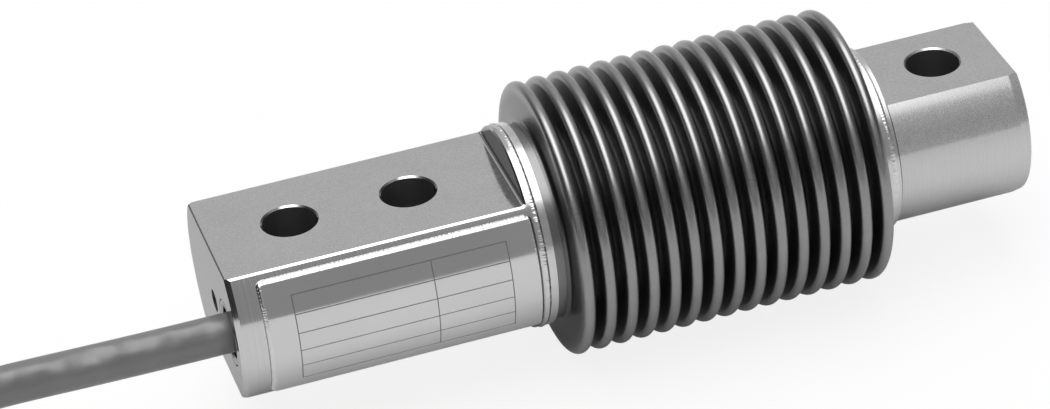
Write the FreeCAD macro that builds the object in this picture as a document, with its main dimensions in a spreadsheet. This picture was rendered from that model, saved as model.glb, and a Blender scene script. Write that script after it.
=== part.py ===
import FreeCAD
import Part
import Sketcher
import math
import operator
import os

# Bellows-sealed bending beam load cell: a turned stainless bar with flats, its thinned middle
# sealed under a welded metal bellows, and a cable that leaves the fixed end.
# Lengths run along X from the cable end, and heights and sides are measured from the bar's axis.
# The whole cell is then placed with its origin on the lower mounting flat, midway between the bolts.

SIZES = [
    ("end_to_first_bolt", 12.75, "cable end to the first mounting hole"),
    ("bolt_spacing", 18.2, "between the two mounting holes"),
    ("bolt_to_load", 83.05, "second mounting hole to the load hole"),
    ("load_to_end", 10.2, "load hole to the load end"),
    ("hole_diameter", 8.2, "mounting and load holes, for M8"),
    ("hole_chamfer", 0.25, "chamfer at each mouth of the holes"),
    ("bar_diameter", 31.0, "fixed end of the bar"),
    ("load_diameter", 27.0, "load end of the bar"),
    ("flat_height", 20.8, "across the flats of both ends"),
    ("fixed_flat_length", 45.45, "flats of the fixed end, from the cable end"),
    ("load_flat_length", 21.3, "flats of the load end, from the load end"),
    ("flat_fillet", 0.45, "where a flat runs up to the round collar"),
    ("flat_bevel", 0.25, "bevel along the flats of the fixed end"),
    ("end_bevel", 0.2, "bevel where a flat meets an end face"),
    ("fixed_cone_length", 0.8, "cone at the cable end, along the bar"),
    ("fixed_cone_depth", 0.45, "cone at the cable end, off the radius"),
    ("load_cone_length", 1.5, "cone at the load end, along the bar"),
    ("load_cone_depth", 0.25, "cone at the load end, off the radius"),
    ("centre_mouth", 3.5, "turning centre, mouth diameter"),
    ("centre_pilot", 1.6, "turning centre, pilot diameter"),
    ("centre_depth", 4.0, "turning centre, depth of the pilot"),
    ("collar_length", 1.2, "round collar between the flats and the weld"),
    ("spigot_length", 2.9, "seat of the bellows cuff at the fixed end"),
    ("load_land_length", 2.0, "seat of the bellows cuff at the load end"),
    ("core_height", 19.2, "measuring section, height"),
    ("core_width", 15.0, "measuring section, width"),
    ("gauge_bore", 12.4, "cross bores that thin the measuring section"),
    ("gauge_bore_spacing", 26.0, "between the two cross bores"),
    ("gauge_slot", 5.0, "slot that joins the cross bores"),
    ("crest_diameter", 42.0, "bellows over the crests"),
    ("root_diameter", 29.8, "bellows at the roots, outside"),
    ("bellows_wall", 0.25, "sheet of the bellows"),
    ("convolutions", 15, "waves of the bellows"),
    ("fixed_cuff_length", 3.08, "plain cuff at the fixed end"),
    ("load_cuff_length", 2.17, "cuff at the load end, with its neck"),
    ("fixed_ring_length", 1.55, "support ring on the fixed cuff"),
    ("load_ring_length", 1.3, "support ring on the load cuff"),
    ("load_ring_diameter", 28.2, "support ring and sleeve of the load end"),
    ("sleeve_length", 0.9, "weld sleeve on the load end"),
    ("weld_leg", 0.4, "depth and half width of each weld groove"),
    ("weld_crown", 0.18, "rise of each weld bead"),
    ("cover_start", 4.8, "cable end to the side cover"),
    ("cover_gap", 0.15, "side cover to the round collar"),
    ("cover_angle", 69.5, "side cover around the bar between its rounded edges, degrees"),
    ("cover_thickness", 0.6, "sheet of the side cover"),
    ("cover_edge", 0.75, "rounding of the cover's long edges"),
    ("cable_diameter", 6.0, "sheath of the cable"),
    ("cable_offset", 8.5, "cable entry in front of the axis"),
    ("cable_drop", 0.4, "cable entry below the axis"),
    ("gland_bore", 10.2, "bore for the gland bush"),
    ("gland_depth", 6.0, "depth of that bore"),
    ("bush_bore", 8.0, "bore of the gland bush"),
    ("bush_break", 0.25, "broken edges of the gland bush"),
    ("seal_recess", 1.5, "seal behind the face of the bush"),
    ("passage_clearance", 0.4, "cable passage over the cable"),
    ("pocket_start", 9.5, "cable end to the wiring pocket"),
    ("pocket_length", 31.5, "wiring pocket along the bar"),
    ("pocket_height", 11.0, "wiring pocket, height"),
    ("pocket_corner", 2.0, "corner radius of the wiring pocket"),
    ("board_margin", 3.5, "end of the pocket to the board"),
    ("board_length", 25.0, "trimming board, length"),
    ("board_height", 9.0, "trimming board, height"),
    ("board_thickness", 1.0, "trimming board, thickness"),
    ("chip_length", 3.2, "trimming resistor, length"),
    ("chip_width", 1.6, "trimming resistor, width"),
    ("chip_height", 0.6, "trimming resistor, height"),
    ("chip_pitch", 4.8, "between resistors along the board"),
    ("chip_rows", 4.5, "between the two rows of resistors"),
    ("core_wire", 0.9, "insulated core inside the cell"),
    ("core_wire_pitch", 0.95, "between the cores on the board"),
    ("core_wire_landing", 3.0, "length of each core on the board"),
    ("lead_wire", 0.5, "bridge lead through the duct"),
    ("lead_wire_pitch", 0.7, "between the bridge leads"),
    ("lead_landing", 3.5, "length of each lead on board and strip"),
    ("duct_diameter", 3.2, "wire duct through the collar"),
    ("strip_gap", 0.6, "spigot to the terminal strip"),
    ("strip_length", 4.2, "terminal strip along the bar"),
    ("strip_height", 8.0, "terminal strip, height"),
    ("gauge_length", 7.0, "strain gauge, length"),
    ("gauge_width", 5.0, "strain gauge, width"),
    ("foil_thickness", 0.12, "strain gauge and flex foil"),
    ("flex_width", 2.4, "tracks of the gauge flex"),
    ("hank_gap", 58.0, "cable end to the hank"),
    ("hank_side", 6.0, "hank behind the axis"),
    ("hank_straight", 62.0, "straight length of each turn"),
    ("fold_radius", 18.7, "fold of the inner turns"),
    ("turn_pitch", 6.2, "between neighbouring turns"),
    ("turns_across", 2, "turns side by side"),
    ("turn_layers", 6, "turns on top of each other"),
    ("tie_width", 5.0, "cable tie, width"),
    ("tie_thickness", 0.9, "cable tie, thickness"),
    ("tie_clearance", 0.1, "cable tie around the hank"),
    ("tail_core", 1.2, "insulated core at the free end"),
    ("tail_core_length", 16.0, "bared cores at the free end"),
    ("tail_ring", 1.75, "cores around the cable's middle"),
    ("tail_fan", 2.2, "between the cores' fanned ends"),
    ("tail_gap", 0.3, "cut sheath to the bared cores"),
    ("tip_diameter", 0.8, "stripped strand at each core's end"),
    ("tip_length", 4.0, "length of each stripped strand"),
]

doc = FreeCAD.newDocument("load_cell")
sheet = doc.addObject("Spreadsheet::Sheet", "Sizes")
for row, (alias, number, meaning) in enumerate(SIZES, start=1):
    sheet.set(f"A{row}", alias)
    sheet.set(f"B{row}", str(number))
    sheet.setAlias(f"B{row}", alias)
    sheet.set(f"C{row}", meaning)
doc.recompute()


class Size:
    """A length worked out from the sheet: its value now, and the expression that keeps it bound."""

    def __init__(self, value, text):
        self.value = value
        self.text = text

    def joined(self, other, sign, work):
        other = as_size(other)
        return Size(work(self.value, other.value), f"({self.text} {sign} {other.text})")

    def __add__(self, other):
        return self.joined(other, "+", operator.add)

    def __sub__(self, other):
        return self.joined(other, "-", operator.sub)

    def __mul__(self, other):
        return self.joined(other, "*", operator.mul)

    def __truediv__(self, other):
        return self.joined(other, "/", operator.truediv)

    def __neg__(self):
        return Size(-self.value, f"(-1 * {self.text})")


def as_size(number):
    return number if isinstance(number, Size) else Size(float(number), str(float(number)))


def root(amount):
    return Size(math.sqrt(amount.value), f"sqrt({amount.text})")


def whole(amount):
    return Size(round(amount.value), f"round({amount.text})")


def cosine(degrees):
    return Size(math.cos(math.radians(degrees.value)), f"cos({degrees.text})")


def sine(degrees):
    return Size(math.sin(math.radians(degrees.value)), f"sin({degrees.text})")


class Sheet:
    """Each alias of the sheet as a bound length."""

    def __getattr__(self, alias):
        return Size(float(getattr(sheet, alias)), f"Sizes.{alias}")


size = Sheet()
ZERO = as_size(0)
OUTSIDE = 2.0  # a cut starts this far outside the metal

# Places along the bar, from the cable end
total_length = size.end_to_first_bolt + size.bolt_spacing + size.bolt_to_load + size.load_to_end
first_bolt_x = size.end_to_first_bolt
second_bolt_x = first_bolt_x + size.bolt_spacing
load_hole_x = second_bolt_x + size.bolt_to_load
fixed_seam_x = size.fixed_flat_length + size.collar_length
spigot_end_x = fixed_seam_x + size.spigot_length
sleeve_end_x = total_length - size.load_flat_length
load_seam_x = sleeve_end_x - size.sleeve_length
load_land_x = load_seam_x - size.load_land_length
core_middle_x = (spigot_end_x + load_land_x) / 2

# Radii and heights about the axis
bar_radius = size.bar_diameter / 2
load_radius = size.load_diameter / 2
flat_z = size.flat_height / 2
hole_radius = size.hole_diameter / 2
crest_radius = size.crest_diameter / 2
root_radius = size.root_diameter / 2
spigot_radius = root_radius - size.bellows_wall
load_ring_radius = size.load_ring_diameter / 2
core_top_z = size.core_height / 2
core_side_y = size.core_width / 2
floor_z = -crest_radius

# Wiring: the cores lie on the board, whose back is on the pocket's floor
board_face_y = size.cable_offset - size.core_wire / 2
pocket_floor_y = board_face_y - size.board_thickness
pocket_end_x = size.pocket_start + size.pocket_length
board_start_x = size.pocket_start + size.board_margin
board_end_x = board_start_x + size.board_length
strip_start_x = spigot_end_x + size.strip_gap
strip_end_x = strip_start_x + size.strip_length
lead_y = board_face_y + size.lead_wire / 2

# The origin is on the lower flat, midway between the mounting holes
origin_x = -(first_bolt_x + size.bolt_spacing / 2)
origin_z = flat_z


def bind(obj, name, amount):
    obj.setExpression(name, as_size(amount).text)


def place(obj, x=ZERO, y=ZERO, z=ZERO):
    bind(obj, "Placement.Base.x", origin_x + x)
    bind(obj, "Placement.Base.y", y)
    bind(obj, "Placement.Base.z", origin_z + z)


def new_body(label, x=ZERO, y=ZERO, z=ZERO):
    body = doc.addObject("PartDesign::Body", label)
    body.Label = label
    place(body, x, y, z)
    return body


def new_sketch(body, plane, along=ZERO, out=ZERO):
    """A sketch on one of the body's own planes, moved along its first axis and out of it."""
    sketch = body.newObject("Sketcher::SketchObject", f"{body.Label}_sketch")
    support = [item for item in body.Origin.OriginFeatures if item.Role == f"{plane}_Plane"][0]
    sketch.AttachmentSupport = [(support, "")]
    sketch.MapMode = "FlatFace"
    bind(sketch, "AttachmentOffset.Base.x", along)
    bind(sketch, "AttachmentOffset.Base.z", out)
    return sketch


def dimension(sketch, kind, where, amount):
    number = sketch.addConstraint(Sketcher.Constraint(kind, *where, as_size(amount).value))
    sketch.setExpression(f"Constraints[{number}]", as_size(amount).text)


def add_arc(sketch, start, end, radius, side):
    """An arc between two points, with its centre left (1) or right (-1) of the way."""
    ax, ay = start
    bx, by = end
    half = math.hypot(bx - ax, by - ay) / 2
    rise = side * math.sqrt(max(radius * radius - half * half, 0)) / (2 * half)
    centre = FreeCAD.Vector((ax + bx) / 2 - (by - ay) * rise, (ay + by) / 2 + (bx - ax) * rise, 0)
    angles = [math.atan2(y - centre.y, x - centre.x) for x, y in (start, end)]
    first, last = angles if side > 0 else reversed(angles)
    circle = Part.Circle(centre, FreeCAD.Vector(0, 0, 1), radius)
    return sketch.addGeometry(Part.ArcOfCircle(circle, first, last), False)


def outline(sketch, corners):
    """A closed outline. A corner is (u, v), or (u, v, radius, side) where an arc leaves it."""
    ends = []
    spots = [(as_size(c[0]).value, as_size(c[1]).value) for c in corners]
    for index, corner in enumerate(corners):
        start, end = spots[index], spots[(index + 1) % len(spots)]
        if len(corner) == 4:
            geometry = add_arc(sketch, start, end, as_size(corner[2]).value, corner[3])
            ends.append((geometry, 1, 2) if corner[3] > 0 else (geometry, 2, 1))
        else:
            points = [FreeCAD.Vector(*spot, 0) for spot in (start, end)]
            ends.append((sketch.addGeometry(Part.LineSegment(*points), False), 1, 2))
    for index, corner in enumerate(corners):
        geometry, first, last = ends[index]
        following = ends[(index + 1) % len(ends)]
        sketch.addConstraint(Sketcher.Constraint("Coincident", geometry, last, *following[:2]))
        dimension(sketch, "DistanceX", (-1, 1, geometry, first), corner[0])
        dimension(sketch, "DistanceY", (-1, 1, geometry, first), corner[1])
        if len(corner) == 4:
            dimension(sketch, "Radius", (geometry,), corner[2])


def circle(sketch, u, v, radius):
    u, v, radius = as_size(u), as_size(v), as_size(radius)
    shape = Part.Circle(FreeCAD.Vector(u.value, v.value, 0), FreeCAD.Vector(0, 0, 1), radius.value)
    geometry = sketch.addGeometry(shape, False)
    dimension(sketch, "DistanceX", (-1, 1, geometry, 3), u)
    dimension(sketch, "DistanceY", (-1, 1, geometry, 3), v)
    dimension(sketch, "Radius", (geometry,), radius)


def rectangle(u0, v0, u1, v1):
    return [(u0, v0), (u1, v0), (u1, v1), (u0, v1)]


def revolve(body, sketch, kind="Revolution", axis="H_Axis", angle=360):
    feature = body.newObject(f"PartDesign::{kind}", f"{body.Label}_{kind.lower()}")
    feature.Profile = sketch
    feature.ReferenceAxis = (sketch, [axis])
    bind(feature, "Angle", angle)
    feature.Midplane = True
    doc.recompute()
    return feature


def pad(body, sketch, length, backwards=False):
    feature = body.newObject("PartDesign::Pad", f"{body.Label}_pad")
    feature.Profile = sketch
    feature.Reversed = backwards
    bind(feature, "Length", length)
    doc.recompute()
    return feature


def pocket(body, sketch, length=None, symmetric=False):
    """A cut along the sketch's own normal, to a length, or right through where none is given."""
    feature = body.newObject("PartDesign::Pocket", f"{body.Label}_pocket")
    feature.Profile = sketch
    feature.Reversed = not symmetric
    if symmetric:
        feature.SideType = "Symmetric"
    if length is None:
        feature.Type = "ThroughAll"
    else:
        bind(feature, "Length", length)
    doc.recompute()
    return feature


def ring(label, corners):
    """A turned ring about the bar's axis."""
    body = new_body(label)
    sketch = new_sketch(body, "XZ")
    outline(sketch, corners)
    revolve(body, sketch)
    return body


def block(name, x, y, z, length, width, height):
    """A plain plate or chip, from its lowest corner."""
    box = doc.addObject("Part::Box", name)
    box.Label = name
    for prop, amount in zip(("Length", "Width", "Height"), (length, width, height)):
        bind(box, prop, amount)
    place(box, x, y, z)
    return box


def rod(name, x, y, z, diameter, length):
    """A straight wire along X."""
    wire = doc.addObject("Part::Cylinder", name)
    wire.Label = name
    wire.Placement.Rotation = FreeCAD.Rotation(FreeCAD.Vector(0, 1, 0), 90)
    bind(wire, "Radius", as_size(diameter) / 2)
    bind(wire, "Height", length)
    place(wire, x, y, z)
    return wire


def group(label, members):
    compound = doc.addObject("Part::Compound", label)
    compound.Label = label
    compound.Links = members
    doc.recompute()
    return compound


def measuring_beam():
    """The bar turned and milled from one piece, from the cable end to the load end."""
    body = new_body("measuring_beam")
    core_radius = root(core_top_z * core_top_z + core_side_y * core_side_y)
    turned = new_sketch(body, "XZ")
    outline(turned, [
        (ZERO, ZERO),
        (ZERO, bar_radius - size.fixed_cone_depth),
        (size.fixed_cone_length, bar_radius),
        (fixed_seam_x - size.weld_leg, bar_radius),
        (fixed_seam_x, bar_radius - size.weld_leg),
        (fixed_seam_x, spigot_radius),
        (spigot_end_x, spigot_radius),
        (spigot_end_x, core_radius),
        (load_land_x, core_radius),
        (load_land_x, load_radius),
        (total_length - size.load_cone_length, load_radius),
        (total_length, load_radius - size.load_cone_depth),
        (total_length, ZERO),
    ])
    revolve(body, turned)

    # Flats above and below: fixed end with a fillet at the collar, measuring section, load end.
    # The two outer ones are bevelled where they meet the end faces.
    milled = new_sketch(body, "XZ")
    air = bar_radius + OUTSIDE
    for sign in (1, -1):
        outline(milled, [
            (-OUTSIDE, (flat_z - size.end_bevel - OUTSIDE) * sign),
            (size.end_bevel, flat_z * sign),
            (size.fixed_flat_length - size.flat_fillet, flat_z * sign, size.flat_fillet, sign),
            (size.fixed_flat_length, (flat_z + size.flat_fillet) * sign),
            (size.fixed_flat_length, air * sign),
            (-OUTSIDE, air * sign),
        ])
        outline(milled, rectangle(spigot_end_x, core_top_z * sign, load_land_x, air * sign))
        outline(milled, [
            (sleeve_end_x, flat_z * sign),
            (total_length - size.end_bevel, flat_z * sign),
            (total_length + OUTSIDE, (flat_z - size.end_bevel - OUTSIDE) * sign),
            (total_length + OUTSIDE, air * sign),
            (sleeve_end_x, air * sign),
        ])
    pocket(body, milled, symmetric=True)

    # Sides of the measuring section
    sides = new_sketch(body, "XY")
    for sign in (1, -1):
        outline(sides, rectangle(spigot_end_x, core_side_y * sign, load_land_x, air * sign))
    pocket(body, sides, symmetric=True)

    # Two cross bores and the slot between them leave four thin places that bend
    bores = new_sketch(body, "XZ")
    for sign in (1, -1):
        circle(bores, core_middle_x + size.gauge_bore_spacing / 2 * sign, ZERO, size.gauge_bore / 2)
    pocket(body, bores, symmetric=True)
    slot = new_sketch(body, "XZ")
    reach = size.gauge_bore_spacing / 2
    rise = size.gauge_slot / 2
    outline(slot, rectangle(core_middle_x - reach, -rise, core_middle_x + reach, rise))
    pocket(body, slot, symmetric=True)

    # Bevels along the flats of the fixed end, which follow the fillets up to the collar
    bar = body.Tip
    edge_y = root(bar_radius * bar_radius - flat_z * flat_z).value
    long_edges = []
    for number, edge in enumerate(bar.Shape.Edges, start=1):
        middle = edge.CenterOfMass
        on_edge = abs(abs(middle.y) - edge_y) < 0.01 and abs(abs(middle.z) - flat_z.value) < 0.01
        if on_edge and middle.x < size.fixed_flat_length.value:
            long_edges.append(f"Edge{number}")
    bevels = body.newObject("PartDesign::Chamfer", "measuring_beam_bevels")
    bevels.Base = (bar, long_edges)
    bind(bevels, "Size", size.flat_bevel)
    doc.recompute()

    # Mounting holes and load hole, chamfered at both mouths
    for hole_x in (first_bolt_x, second_bolt_x, load_hole_x):
        hole = new_sketch(body, "XZ", along=hole_x)
        wide = hole_radius + size.hole_chamfer
        outline(hole, [
            (ZERO, -flat_z),
            (wide, -flat_z),
            (hole_radius, -flat_z + size.hole_chamfer),
            (hole_radius, flat_z - size.hole_chamfer),
            (wide, flat_z),
            (ZERO, flat_z),
        ])
        revolve(body, hole, "Groove", "V_Axis")

    # Turning centres in both ends
    mouth, pilot = size.centre_mouth / 2, size.centre_pilot / 2
    cone = (mouth - pilot) * math.sqrt(3)
    for end_x, inwards in ((ZERO, 1), (total_length, -1)):
        centre = new_sketch(body, "XZ")
        outline(centre, [
            (end_x, ZERO),
            (end_x + size.centre_depth * inwards, ZERO),
            (end_x + size.centre_depth * inwards, pilot),
            (end_x + cone * inwards, pilot),
            (end_x, mouth),
        ])
        revolve(body, centre, "Groove")

    # Gland bore, cable passage, wiring pocket under the side cover, and wire duct to the bellows
    gland = new_sketch(body, "YZ")
    circle(gland, -size.cable_offset, -size.cable_drop, size.gland_bore / 2)
    pocket(body, gland, size.gland_depth)
    passage = new_sketch(body, "YZ")
    passage_radius = (size.cable_diameter + size.passage_clearance) / 2
    circle(passage, -size.cable_offset, -size.cable_drop, passage_radius)
    pocket(body, passage, size.pocket_start + size.pocket_corner)
    wiring = new_sketch(body, "XZ", out=pocket_floor_y)
    left, right = size.pocket_start, pocket_end_x
    half, turn = size.pocket_height / 2, size.pocket_corner
    outline(wiring, [
        (left + turn, -half),
        (right - turn, -half, turn, 1),
        (right, -half + turn),
        (right, half - turn, turn, 1),
        (right - turn, half),
        (left + turn, half, turn, 1),
        (left, half - turn),
        (left, -half + turn, turn, 1),
    ])
    pocket(body, wiring)
    duct = new_sketch(body, "YZ", out=pocket_end_x - size.pocket_corner)
    circle(duct, -lead_y, ZERO, size.duct_diameter / 2)
    pocket(body, duct, spigot_end_x - pocket_end_x + size.pocket_corner)
    return body


def bellows():
    """One wave of thin sheet, turned and repeated, with a plain cuff and a necked cuff."""
    body = new_body("bellows")
    wall = size.bellows_wall
    roots_start_x = fixed_seam_x + size.fixed_cuff_length
    roots_end_x = load_seam_x - size.load_cuff_length
    waves_count = whole(size.convolutions)
    pitch = (roots_end_x - roots_start_x) / waves_count
    crest_x = roots_start_x + pitch / 2
    next_x = roots_start_x + pitch
    bend = pitch / 4 + wall / 2  # outside of a crest, and inside of a root
    dip = pitch / 4 - wall / 2  # inside of a crest, and outside of a root
    inner_root = root_radius - wall
    flank_low = root_radius + dip
    flank_high = crest_radius - bend
    wave = new_sketch(body, "XZ")
    outline(wave, [
        (roots_start_x, root_radius, dip, 1),
        (roots_start_x + dip, flank_low),
        (crest_x - bend, flank_high, bend, -1),
        (crest_x, crest_radius, bend, -1),
        (crest_x + bend, flank_high),
        (next_x - dip, flank_low, dip, 1),
        (next_x, root_radius),
        (next_x, inner_root, bend, -1),
        (next_x - bend, flank_low),
        (crest_x + dip, flank_high, dip, 1),
        (crest_x, crest_radius - wall, dip, 1),
        (crest_x - dip, flank_high),
        (roots_start_x + bend, flank_low, bend, -1),
        (roots_start_x, inner_root),
    ])
    first = revolve(body, wave)
    waves = body.newObject("PartDesign::LinearPattern", "bellows_waves")
    waves.Originals = [first]
    waves.Direction = (wave, ["H_Axis"])
    bind(waves, "Length", pitch * (waves_count - 1))
    bind(waves, "Occurrences", waves_count)
    body.Tip = waves
    doc.recompute()

    cuff = new_sketch(body, "XZ")
    outline(cuff, rectangle(fixed_seam_x, inner_root, roots_start_x, root_radius))
    revolve(body, cuff)
    neck = new_sketch(body, "XZ")
    seat_x = load_seam_x - size.load_ring_length
    outline(neck, [
        (roots_end_x, inner_root),
        (roots_end_x, root_radius),
        (seat_x, load_radius + wall),
        (load_seam_x, load_radius + wall),
        (load_seam_x, load_radius),
        (seat_x - wall / 2, load_radius),
    ])
    revolve(body, neck)
    return body


def support_rings():
    """Rings that back the cuffs, and the sleeve on the load end, each bevelled for its weld."""
    leg = size.weld_leg
    ring("fixed_ring", [
        (fixed_seam_x, root_radius),
        (fixed_seam_x + size.fixed_ring_length, root_radius),
        (fixed_seam_x + size.fixed_ring_length, bar_radius),
        (fixed_seam_x + leg, bar_radius),
        (fixed_seam_x, bar_radius - leg),
    ])
    cuff_radius = load_radius + size.bellows_wall
    ring_groove = load_ring_radius - cuff_radius
    ring("load_ring", [
        (load_seam_x - size.load_ring_length, cuff_radius),
        (load_seam_x, cuff_radius),
        (load_seam_x - ring_groove, load_ring_radius),
        (load_seam_x - size.load_ring_length, load_ring_radius),
    ])
    ring("load_sleeve", [
        (load_seam_x, load_radius),
        (sleeve_end_x, load_radius),
        (sleeve_end_x, load_ring_radius),
        (load_seam_x + ring_groove, load_ring_radius),
        (load_seam_x, cuff_radius),
    ])


def weld_beads():
    """A low crowned bead in each groove."""
    load_leg = load_ring_radius - load_radius - size.bellows_wall
    seams = (
        ("fixed_weld", fixed_seam_x, bar_radius, size.weld_leg),
        ("load_weld", load_seam_x, load_ring_radius, load_leg),
    )
    for label, x, radius, leg in seams:
        crown = (leg * leg + size.weld_crown * size.weld_crown) / (size.weld_crown * 2)
        ring(label, [
            (x - leg, radius),
            (x, radius - leg),
            (x + leg, radius, crown, 1),
        ])


def cover_plate():
    """Curved sheet with rounded long edges, welded over the wiring pocket on the front of the fixed end."""
    body = new_body("cover_plate")
    section = new_sketch(body, "YZ", out=size.cover_start)
    outer = bar_radius + size.cover_thickness
    half_turn = size.cover_angle / 2
    along, up = cosine(half_turn), sine(half_turn)
    edge_centre = outer - size.cover_edge
    # Where a rounded edge comes down on the bar, along and across the ray through its centre
    squares = bar_radius * bar_radius + edge_centre * edge_centre - size.cover_edge * size.cover_edge
    foot = squares / (edge_centre * 2)
    beyond = root(bar_radius * bar_radius - foot * foot)
    foot_y, foot_z = beyond * up - foot * along, foot * up + beyond * along
    outline(section, [
        (-outer * along, -outer * up, outer, -1),
        (-outer * along, outer * up, size.cover_edge, -1),
        (foot_y, foot_z, bar_radius, 1),
        (foot_y, -foot_z, size.cover_edge, -1),
    ])
    pad(body, section, size.fixed_flat_length - size.cover_gap - size.cover_start)


def cable_gland():
    """A bush pressed into the end face, and the rubber seal that grips the cable inside it."""
    bush = new_body("gland_bush", y=-size.cable_offset, z=-size.cable_drop)
    section = new_sketch(bush, "XZ")
    outer, inner, broken = size.gland_bore / 2, size.bush_bore / 2, size.bush_break
    outline(section, [
        (ZERO, inner + broken),
        (broken, inner),
        (size.gland_depth, inner),
        (size.gland_depth, outer),
        (broken, outer),
        (ZERO, outer - broken),
    ])
    revolve(bush, section)
    seal = new_body("cable_seal", y=-size.cable_offset, z=-size.cable_drop)
    section = new_sketch(seal, "XZ")
    grip = size.cable_diameter / 2
    outline(section, rectangle(size.seal_recess, grip, size.gland_depth, inner))
    revolve(seal, section)


def wiring():
    """Trimming board, its resistors, the cable's cores and the leads to the bridge."""
    board_z = -size.board_height / 2
    block("trim_board", board_start_x, -board_face_y, board_z,
          size.board_length, size.board_thickness, size.board_height)
    chips = []
    middle_x = (board_start_x + board_end_x - size.chip_length) / 2
    for column in (-1, 0, 1):
        for row in (-1, 1):
            chips.append(block(
                f"chip_{len(chips) + 1}",
                middle_x + size.chip_pitch * column,
                -(board_face_y + size.chip_height),
                size.chip_rows / 2 * row - size.chip_width / 2,
                size.chip_length, size.chip_height, size.chip_width,
            ))
    group("trim_resistors", chips)
    cores = []
    landed = board_start_x + size.core_wire_landing - size.pocket_start
    for number in range(6):
        side = size.core_wire_pitch * (number - 2.5)
        cores.append(rod(f"core_{number + 1}", size.pocket_start, -size.cable_offset,
                         side - size.cable_drop, size.core_wire, landed))
    group("inner_cores", cores)
    leads = []
    lead_start_x = board_end_x - size.lead_landing
    lead_length = strip_start_x + size.lead_landing - lead_start_x
    for number in range(4):
        side = size.lead_wire_pitch * (number - 1.5)
        leads.append(rod(f"lead_{number + 1}", lead_start_x, -lead_y, side,
                         size.lead_wire, lead_length))
    group("bridge_leads", leads)
    block("terminal_strip", strip_start_x, -board_face_y, -size.strip_height / 2,
          size.strip_length, board_face_y - core_side_y, size.strip_height)


def strain_gauges():
    """Four foil gauges over and under the thin places, and the flex that joins them to the strip."""
    foil = size.foil_thickness
    places = (("top", core_top_z, 1), ("bottom", -core_top_z - foil, -1))
    for name, z, up in places:
        for number, along in ((1, -1), (2, 1)):
            x = core_middle_x + size.gauge_bore_spacing / 2 * along - size.gauge_length / 2
            block(f"gauge_{name}_{number}", x, -size.gauge_width / 2, z,
                  size.gauge_length, size.gauge_width, foil)
        flex = new_body(f"gauge_flex_{name}")
        comb = new_sketch(flex, "XY", out=core_top_z * up)
        near_y, far_y = -core_side_y - foil, -size.gauge_width / 2
        track_y = near_y + size.flex_width
        first_x = core_middle_x - size.gauge_bore_spacing / 2
        last_x = core_middle_x + size.gauge_bore_spacing / 2
        tab = size.flex_width / 2
        outline(comb, [
            (strip_start_x, near_y),
            (last_x + tab, near_y),
            (last_x + tab, far_y),
            (last_x - tab, far_y),
            (last_x - tab, track_y),
            (first_x + tab, track_y),
            (first_x + tab, far_y),
            (first_x - tab, far_y),
            (first_x - tab, track_y),
            (strip_start_x, track_y),
        ])
        pad(flex, comb, foil, backwards=up < 0)
        fold = new_sketch(flex, "XZ", out=core_side_y)
        strip_z = size.strip_height / 2 * up
        outline(fold, rectangle(strip_start_x, strip_z, strip_end_x, (core_top_z + foil / 2) * up))
        pad(flex, fold, foil)


def smooth_path(points):
    """Straight runs joined by arcs as large as their runs allow, and the radii of those arcs."""
    corners = [FreeCAD.Vector(*point) for point in points]
    edges, radii, start = [], [], corners[0]
    for before, corner, after in zip(corners, corners[1:], corners[2:]):
        back, ahead = before - corner, after - corner
        half_turn = (math.pi - back.getAngle(ahead)) / 2
        setback = 0.45 * min(back.Length, ahead.Length)
        radii.append(setback / math.tan(half_turn))
        back.normalize()
        ahead.normalize()
        first, last = corner + back * setback, corner + ahead * setback
        inwards = (back + ahead).normalize()
        middle = corner + inwards * (radii[-1] / math.cos(half_turn) - radii[-1])
        edges.append(Part.LineSegment(start, first).toShape())
        edges.append(Part.Arc(first, middle, last).toShape())
        start = last
    edges.append(Part.LineSegment(start, corners[-1]).toShape())
    return Part.Wire(edges), radii


def cord_tube(label, points, hank_shape):
    """A plain round cord along its route, ending where it meets the hank."""
    radius = size.cable_diameter.value / 2
    path, radii = smooth_path(points)
    along = path.Edges[0].tangentAt(path.Edges[0].FirstParameter)
    section = Part.Wire(Part.makeCircle(radius, FreeCAD.Vector(*points[0]), along))
    tube = path.makePipeShell([section], True, False)
    expected = math.pi * radius * radius * path.Length
    print(label, "arc radii", [round(r, 1) for r in radii], "volume ratio", tube.Volume / expected)
    outside = tube.cut(hank_shape)
    feature = doc.addObject("Part::Feature", label)
    feature.Label = label
    feature.Shape = max(outside.Solids, key=lambda solid: solid.Volume)
    feature.Placement = FreeCAD.Placement(
        FreeCAD.Vector(origin_x.value, 0, origin_z.value), FreeCAD.Rotation())
    return feature


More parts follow.
